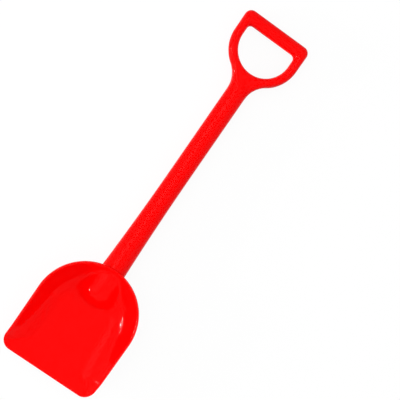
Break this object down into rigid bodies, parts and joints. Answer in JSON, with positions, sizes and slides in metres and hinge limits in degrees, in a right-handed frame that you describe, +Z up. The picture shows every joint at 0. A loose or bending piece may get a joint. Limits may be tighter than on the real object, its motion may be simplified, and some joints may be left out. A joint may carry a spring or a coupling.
{
  "type": "sand shovel",
  "caption": "Child's sand shovel with a dished, round-backed blade, a straight shaft that flares at its foot, and a D-grip, for digging and carrying sand.",
  "frame": {"origin": "centre of the bounding box on the ground, with the shovel lying on the heel of its blade and the upper end of its shaft, dish up", "axes": "+Y along the shaft from the blade to the grip, +Z up, out of the dish, +X to the right across the blade; the YZ plane is the mirror plane"},
  "size_m": [0.1088, 0.417, 0.0291],
  "materials": {
    "red_plastic": "glossy moulded plastic",
    "screw_steel": "zinc plated"
  },
  "bodies": {
    "root": {"blade": "red_plastic", "handle_front": "red_plastic", "handle_back": "red_plastic", "socket_screw": "screw_steel"}
  },
  "joints": []
}
